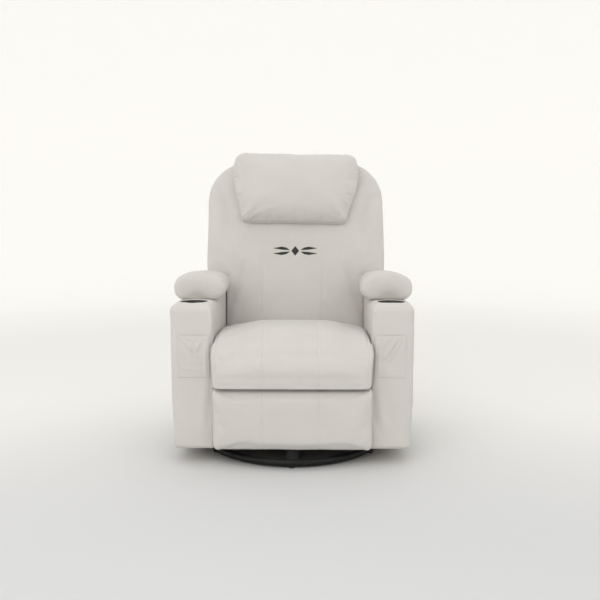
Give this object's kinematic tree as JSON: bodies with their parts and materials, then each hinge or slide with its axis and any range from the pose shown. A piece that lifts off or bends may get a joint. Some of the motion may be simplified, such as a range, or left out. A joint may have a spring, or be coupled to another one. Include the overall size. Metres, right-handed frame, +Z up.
{
  "type": "glider nursery chair",
  "caption": "Upholstered swivel glider recliner with padded arms, cup holders, arm-front pockets, head pillow, footrest and round steel base",
  "frame": {"origin": "on the floor under the middle of the chair's overall footprint at rest", "axes": "+Z up, the sitter faces -Y, +X to the sitter's left"},
  "size_m": [0.8244, 0.8662, 1.0665],
  "materials": {
    "upholstery": "matte",
    "black_steel": "satin",
    "plated_steel": "satin",
    "spring_wire": "satin",
    "plywood": "matte",
    "deck_cloth": "matte",
    "webbing": "matte",
    "nylon": "satin",
    "rubber": "matte",
    "black_plastic": "satin",
    "dark_plastic": "satin"
  },
  "bodies": {
    "base": {"base_ring": "black_steel", "floor_glides": "rubber", "base_spokes": "black_steel", "hub_plate": "black_steel", "lower_bearing_race": "plated_steel", "bearing_balls": "plated_steel", "king_bolt": "plated_steel"},
    "turntable": {"upper_bearing_race": "plated_steel", "turntable_plate": "black_steel", "glider_base_frame": "black_steel", "link_hangers": "black_steel", "hanger_pins": "plated_steel", "hanger_bolts": "plated_steel"},
    "front_links": {"front_swing_links": "black_steel", "front_link_bushes": "nylon"},
    "rear_links": {"rear_swing_links": "black_steel", "rear_link_bushes": "nylon"},
    "seat": {"carriage_rails": "black_steel", "mechanism_side_plates": "black_steel", "carriage_pins": "plated_steel", "link_studs": "plated_steel", "recline_pins": "plated_steel", "cross_tubes": "black_steel", "seat_frame": "plywood", "seat_springs": "spring_wire", "seat_deck": "deck_cloth", "seat_cushion": "upholstery", "left_arm_cover": "upholstery", "right_arm_cover": "upholstery", "arm_frames": "plywood", "left_arm_pad": "upholstery", "left_cup_holder": "black_plastic", "left_front_pocket": "upholstery", "right_arm_pad": "upholstery", "right_cup_holder": "black_plastic", "right_front_pocket": "upholstery", "arm_bottom_glides": "nylon", "arm_spacers": "black_steel", "arm_bolts": "plated_steel", "rear_lower_panel": "upholstery", "release_bezel": "dark_plastic"},
    "backrest": {"back_cushion": "upholstery", "back_rear_shell": "upholstery", "back_frame": "plywood", "back_webbing": "webbing", "back_brackets": "black_steel", "head_pillow": "upholstery", "pillow_flap": "upholstery"},
    "front_drive": {"front_drive_links": "black_steel", "front_knee_pins": "plated_steel"},
    "front_lift": {"front_lift_links": "black_steel"},
    "rear_drive": {"rear_drive_links": "black_steel", "rear_knee_pins": "plated_steel"},
    "rear_lift": {"rear_lift_links": "black_steel"},
    "footrest": {"footrest_board": "plywood", "footrest_lugs": "black_steel", "footrest_lug_pins": "plated_steel", "footrest_pad": "upholstery"},
    "release": {"release_paddle": "dark_plastic"}
  },
  "joints": [
    {"name": "swivel", "type": "hinge", "parent": "base", "child": "turntable", "pos_m": [0, -0.08833, 0], "axis": [0, 0, 1], "continuous": true},
    {"name": "glide", "type": "hinge", "parent": "turntable", "child": "front_links", "pos_m": [0, -0.20833, 0.245], "axis": [1, 0, 0], "range_deg": [-18, 18]},
    {"name": "glide_rear", "type": "hinge", "parent": "turntable", "child": "rear_links", "pos_m": [0, 0.09168, 0.245], "axis": [1, 0, 0], "range_deg": [-18, 18]},
    {"name": "seat_level", "type": "hinge", "parent": "front_links", "child": "seat", "pos_m": [0, -0.20833, 0.105], "axis": [1, 0, 0], "range_deg": [-18, 18]},
    {"name": "recline", "type": "hinge", "parent": "seat", "child": "backrest", "pos_m": [0, 0.11167, 0.325], "axis": [-1, 0, 0], "range_deg": [0, 42]},
    {"name": "footrest_open", "type": "hinge", "parent": "seat", "child": "front_drive", "pos_m": [0, -0.23633, 0.279], "axis": [-1, 0, 0], "range_deg": [0, 120]},
    {"name": "front_knee", "type": "hinge", "parent": "front_drive", "child": "front_lift", "pos_m": [0, -0.12632, 0.185], "axis": [-1, 0, 0], "range_deg": [-79.1, 0]},
    {"name": "footrest_tilt", "type": "hinge", "parent": "front_lift", "child": "footrest", "pos_m": [0, -0.32932, 0.22], "axis": [-1, 0, 0], "range_deg": [0, 52.1]},
    {"name": "rear_drive_turn", "type": "hinge", "parent": "seat", "child": "rear_drive", "pos_m": [0, -0.19842, 0.2662], "axis": [-1, 0, 0], "range_deg": [0, 118]},
    {"name": "rear_knee", "type": "hinge", "parent": "rear_drive", "child": "rear_lift", "pos_m": [0, -0.08803, 0.1438], "axis": [-1, 0, 0], "range_deg": [-85, 0]},
    {"name": "release_pull", "type": "hinge", "parent": "seat", "child": "release", "pos_m": [-0.395, -0.15132, 0.35], "axis": [0, 0, 1], "range_deg": [0, 25], "stiffness_Nm_per_rad": 0.5}
  ],
  "couplings": [
    {"joint": "glide_rear", "follows": "glide", "ratio": 1},
    {"joint": "seat_level", "follows": "glide", "ratio": -1},
    {"joint": "front_knee", "follows": "footrest_open", "ratio": -0.65833},
    {"joint": "footrest_tilt", "follows": "footrest_open", "ratio": 0.43333},
    {"joint": "rear_drive_turn", "follows": "footrest_open", "ratio": 0.9825},
    {"joint": "rear_knee", "follows": "footrest_open", "ratio": -0.7075}
  ]
}
